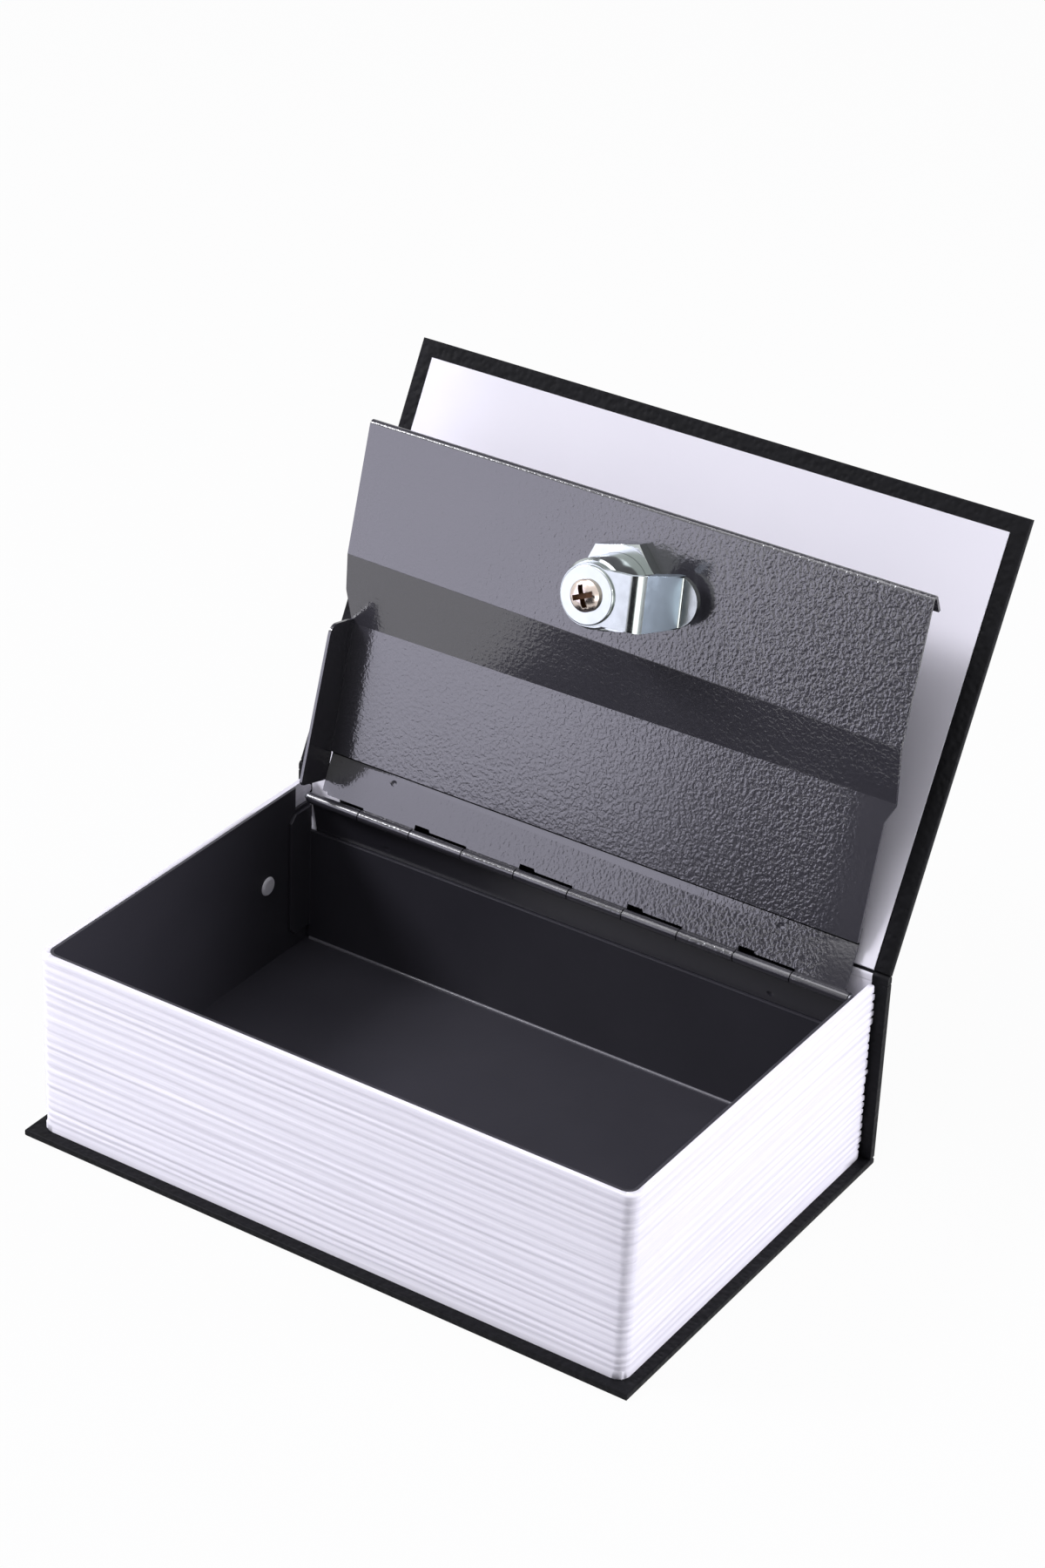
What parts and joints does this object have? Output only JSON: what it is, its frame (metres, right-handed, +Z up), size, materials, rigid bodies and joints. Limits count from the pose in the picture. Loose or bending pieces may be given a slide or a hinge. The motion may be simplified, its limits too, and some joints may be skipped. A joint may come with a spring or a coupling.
{
  "type": "book diversion safe",
  "caption": "Hollow dummy book with ridged page shell, steel tray, hinged steel lid with cam lock, and a hard cover that swings shut over it.",
  "frame": {"origin": "centre of the bottom board's underside", "axes": "+X along the book's length, to the right when the fore-edge faces the viewer; +Y from the fore-edge to the spine; +Z up, out of the tray"},
  "size_m": [0.18, 0.1717, 0.1611],
  "materials": {
    "leatherette": "black leatherette wrapped over greyboard",
    "paper": "smooth white endpaper",
    "page_plastic": "off-white moulded plastic, matt",
    "tray_enamel": "satin black paint on sheet steel",
    "lid_powder": "grey textured powder coat on sheet steel",
    "steel_wire": "plain drawn wire",
    "bright_zinc": "bright plated",
    "yellow_zinc": "yellow passivated steel",
    "brass": "machined brass"
  },
  "bodies": {
    "box": {"bottom_board": "leatherette", "spine_board": "leatherette", "spine_joint": "leatherette", "page_shell": "page_plastic", "tray_pan": "tray_enamel", "back_plate": "tray_enamel", "hinge_leaf_box": "tray_enamel", "hinge_pin": "steel_wire", "shell_pin_left_back": "page_plastic", "shell_pin_left_front": "page_plastic", "shell_pin_right_back": "page_plastic", "shell_pin_right_front": "page_plastic", "shell_pin_front_left": "page_plastic", "shell_pin_front_right": "page_plastic"},
    "cover": {"front_board": "leatherette", "endpaper": "paper"},
    "lid": {"lid_panel": "lid_powder", "hinge_leaf_lid": "lid_powder", "lock_housing": "bright_zinc", "lock_nut": "bright_zinc"},
    "cam_and_plug": {"lock_plug": "brass", "wafer_1": "brass", "wafer_2": "brass", "wafer_3": "brass", "wafer_4": "brass", "wafer_5": "brass", "cam": "bright_zinc", "cam_washer": "bright_zinc", "cam_screw": "yellow_zinc"}
  },
  "joints": [
    {"name": "cover_hinge", "type": "hinge", "parent": "box", "child": "cover", "pos_m": [0, 0.058, 0.0557], "axis": [1, 0, 0], "range_deg": [0, 117.2]},
    {"name": "lid_hinge", "type": "hinge", "parent": "box", "child": "lid", "pos_m": [0, 0.0518, 0.0506], "axis": [1, 0, 0], "range_deg": [0, 105.1]},
    {"name": "cam_turn", "type": "hinge", "parent": "lid", "child": "cam_and_plug", "pos_m": [0, 0.0734, 0.13064], "axis": [0, -0.9655, 0.2605], "range_deg": [-5, 85]}
  ],
  "couplings": [
    {"joint": "lid_hinge", "follows": "cover_hinge", "ratio": 0.8967}
  ]
}
